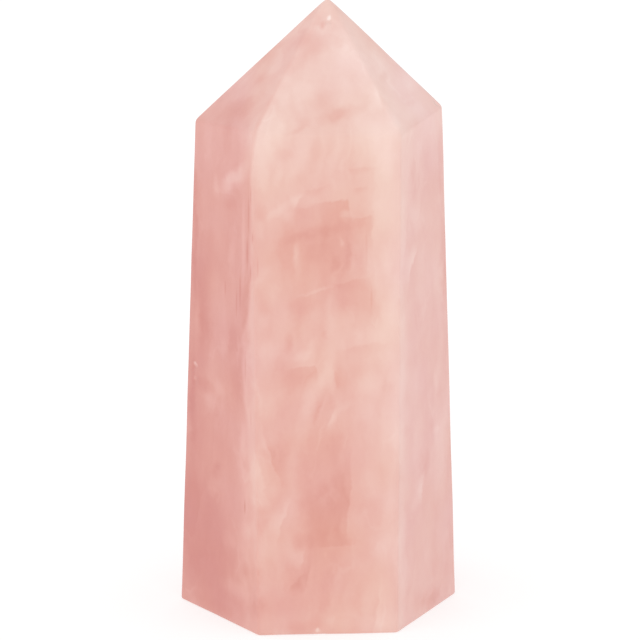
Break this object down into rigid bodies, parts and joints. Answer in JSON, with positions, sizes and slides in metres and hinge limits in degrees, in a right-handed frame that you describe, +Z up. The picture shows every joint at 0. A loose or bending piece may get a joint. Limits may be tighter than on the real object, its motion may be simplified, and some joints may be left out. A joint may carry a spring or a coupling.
{
  "type": "rose quartz point",
  "caption": "Polished tower of cloudy pink quartz with flat upright sides, a faceted pointed tip and a flat base that it stands on.",
  "frame": {"origin": "middle of the flat base face, on the surface that the stone stands on", "axes": "+Z up towards the tip, +X to the right and -Y towards the front side, seen from the front"},
  "size_m": [0.041, 0.0356, 0.0896],
  "materials": {
    "rose_quartz": "polished, milky and slightly translucent"
  },
  "bodies": {
    "root": {"rose_quartz_point": "rose_quartz"}
  },
  "joints": []
}
